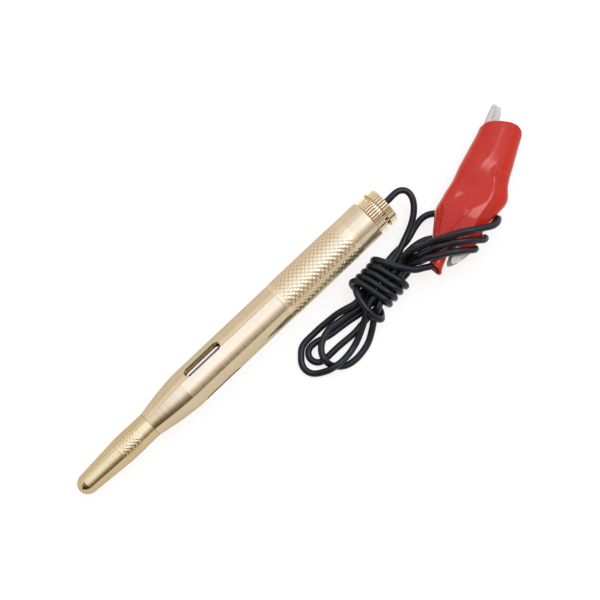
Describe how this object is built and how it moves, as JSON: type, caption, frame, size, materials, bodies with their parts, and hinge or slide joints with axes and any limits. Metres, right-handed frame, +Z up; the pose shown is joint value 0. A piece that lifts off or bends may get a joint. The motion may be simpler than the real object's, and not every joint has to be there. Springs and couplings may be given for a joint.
{
  "type": "test light",
  "caption": "Pen-shaped circuit test light: turned brass barrel with lamp windows, screw-on tip cap, fluted end cap, folded lead and a booted crocodile clip.",
  "frame": {"origin": "on the floor under the middle of the pen, halfway between its tip and its fluted end", "axes": "+X along the pen from the tip cap to the end cap, +Z up, the lead and clip towards -Y"},
  "size_m": [0.1642, 0.0352, 0.0141],
  "materials": {
    "brass": "turned and knurled, bright",
    "holder_brass": "machined",
    "steel": "polished",
    "nickel": "nickel plated sheet",
    "lamp_metal": "plain",
    "lamp_glass": "clear",
    "pale_plastic": "moulded",
    "fibre": "rolled fibre tube",
    "copper": "stranded wire",
    "lead_black": "satin soft insulation",
    "boot_red": "glossy soft moulding"
  },
  "bodies": {
    "test_light": {"barrel": "brass", "needle": "steel", "needle_holder": "holder_brass", "nose_bush": "pale_plastic", "lamp_front_cap": "lamp_metal", "lamp_glass": "lamp_glass", "lamp_filament": "lamp_metal", "lamp_rear_cap": "lamp_metal", "insulating_sleeve": "fibre", "contact_spring": "steel", "contact_terminal": "holder_brass", "inner_conductor": "copper", "inner_lead": "lead_black", "sleeve_plug": "pale_plastic", "end_cap": "brass", "cord_bush": "lead_black", "cord_lead": "lead_black", "cord_loop_1": "lead_black", "cord_loop_2": "lead_black", "cord_loop_3": "lead_black", "cord_tail": "lead_black", "cord_hank_wrap": "lead_black", "cord_hank_loops": "lead_black", "clip_fixed_arm": "nickel", "clip_pivot_pin": "nickel", "clip_spring": "steel", "clip_lead_end": "lead_black", "clip_wire_end": "copper", "clip_boot": "boot_red"},
    "tip_cap": {"probe_cap": "brass"},
    "clip_lever": {"clip_lever_arm": "nickel"}
  },
  "joints": [
    {"name": "tip_cap_pull", "type": "slide", "parent": "test_light", "child": "tip_cap", "axis": [-1, 0, 0], "range_m": [0, 0.03]},
    {"name": "clip_lever_squeeze", "type": "hinge", "parent": "test_light", "child": "clip_lever", "pos_m": [0.087, -0.0105, 0.006], "axis": [-0.1432, 0.1198, -0.9824], "range_deg": [0, 5], "stiffness_Nm_per_rad": 0.3, "springref_deg": -20, "deforming": ["clip_spring"]}
  ]
}
